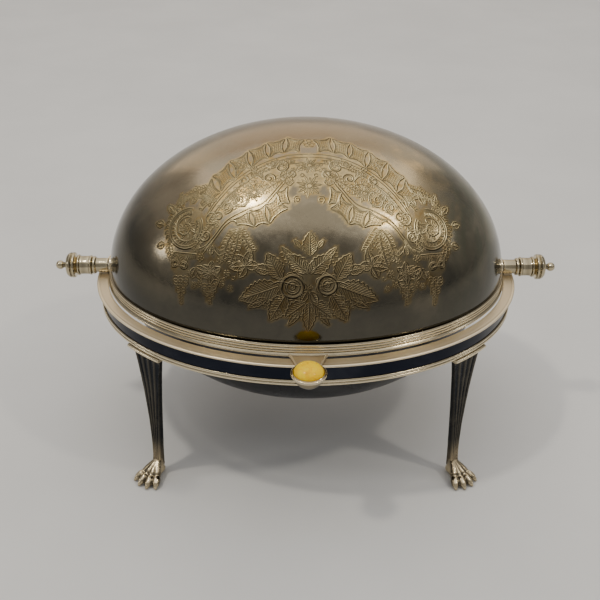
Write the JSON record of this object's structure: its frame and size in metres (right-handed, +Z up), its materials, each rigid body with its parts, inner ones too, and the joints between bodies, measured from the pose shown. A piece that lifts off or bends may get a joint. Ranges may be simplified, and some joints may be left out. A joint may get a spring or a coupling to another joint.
{
  "type": "roll top chafer",
  "caption": "Oval silver-plated roll top chafer: a half spheroid lid rolls about its side pivots and stows beneath a fixed pan, on a reeded stand ring with paw-footed legs.",
  "frame": {"origin": "on the table under the middle of the whole object's footprint, thumbpiece included", "axes": "+X along the rolling axis to the right-hand handle, -Y towards the front with the thumbpiece, +Z up"},
  "size_m": [0.3664, 0.263, 0.2335],
  "materials": {
    "silver_dome": "silver plate, polished, with an even brown-grey tarnish and a bright engraved band",
    "silver_bright": "silver plate, worn bright on raised mouldings with tarnish in the grooves",
    "silver_dark": "silver plate, heavily tarnished on the hidden and lower surfaces",
    "silver_inside": "silver plate, lightly scuffed by serving spoons",
    "pivot_steel": "turned steel, slightly oiled",
    "amber_button": "polished amber-coloured bone or early plastic cabochon"
  },
  "bodies": {
    "stand": {"rim_ring": "silver_bright", "rim_reeds": "silver_bright", "leg_cap_front_left": "silver_bright", "leg_cap_front_right": "silver_bright", "leg_cap_rear_left": "silver_bright", "leg_cap_rear_right": "silver_bright", "leg_front_left": "silver_dark", "leg_front_right": "silver_dark", "leg_rear_left": "silver_dark", "leg_rear_right": "silver_dark", "pivot_saddle_left": "silver_bright", "pivot_saddle_right": "silver_bright", "pivot_pin_left": "pivot_steel", "pivot_pin_right": "pivot_steel", "pivot_spacer_left": "pivot_steel", "pivot_spacer_right": "pivot_steel", "handle_barrel_left": "silver_bright", "handle_barrel_right": "silver_bright", "handle_finial_left": "silver_bright", "handle_finial_right": "silver_bright", "water_pan": "silver_dark", "pan_rim_wire": "silver_bright", "pan_hanger_left": "silver_dark", "pan_hanger_right": "silver_dark", "hanger_rivets": "pivot_steel", "pan_nuts": "pivot_steel", "serving_dish": "silver_inside", "drainer_plate": "silver_inside", "drainer_feet": "silver_inside"},
    "dome": {"dome_shell": "silver_dome", "dome_rim": "silver_bright", "dome_boss_left": "silver_bright", "dome_boss_right": "silver_bright", "thumb_lug": "silver_bright", "button_cup": "silver_bright", "button": "amber_button", "button_rivet": "pivot_steel"}
  },
  "joints": [
    {"name": "dome_roll", "type": "hinge", "parent": "stand", "child": "dome", "pos_m": [0, 0.01085, 0.126], "axis": [-1, 0, 0], "range_deg": [0, 180]}
  ]
}
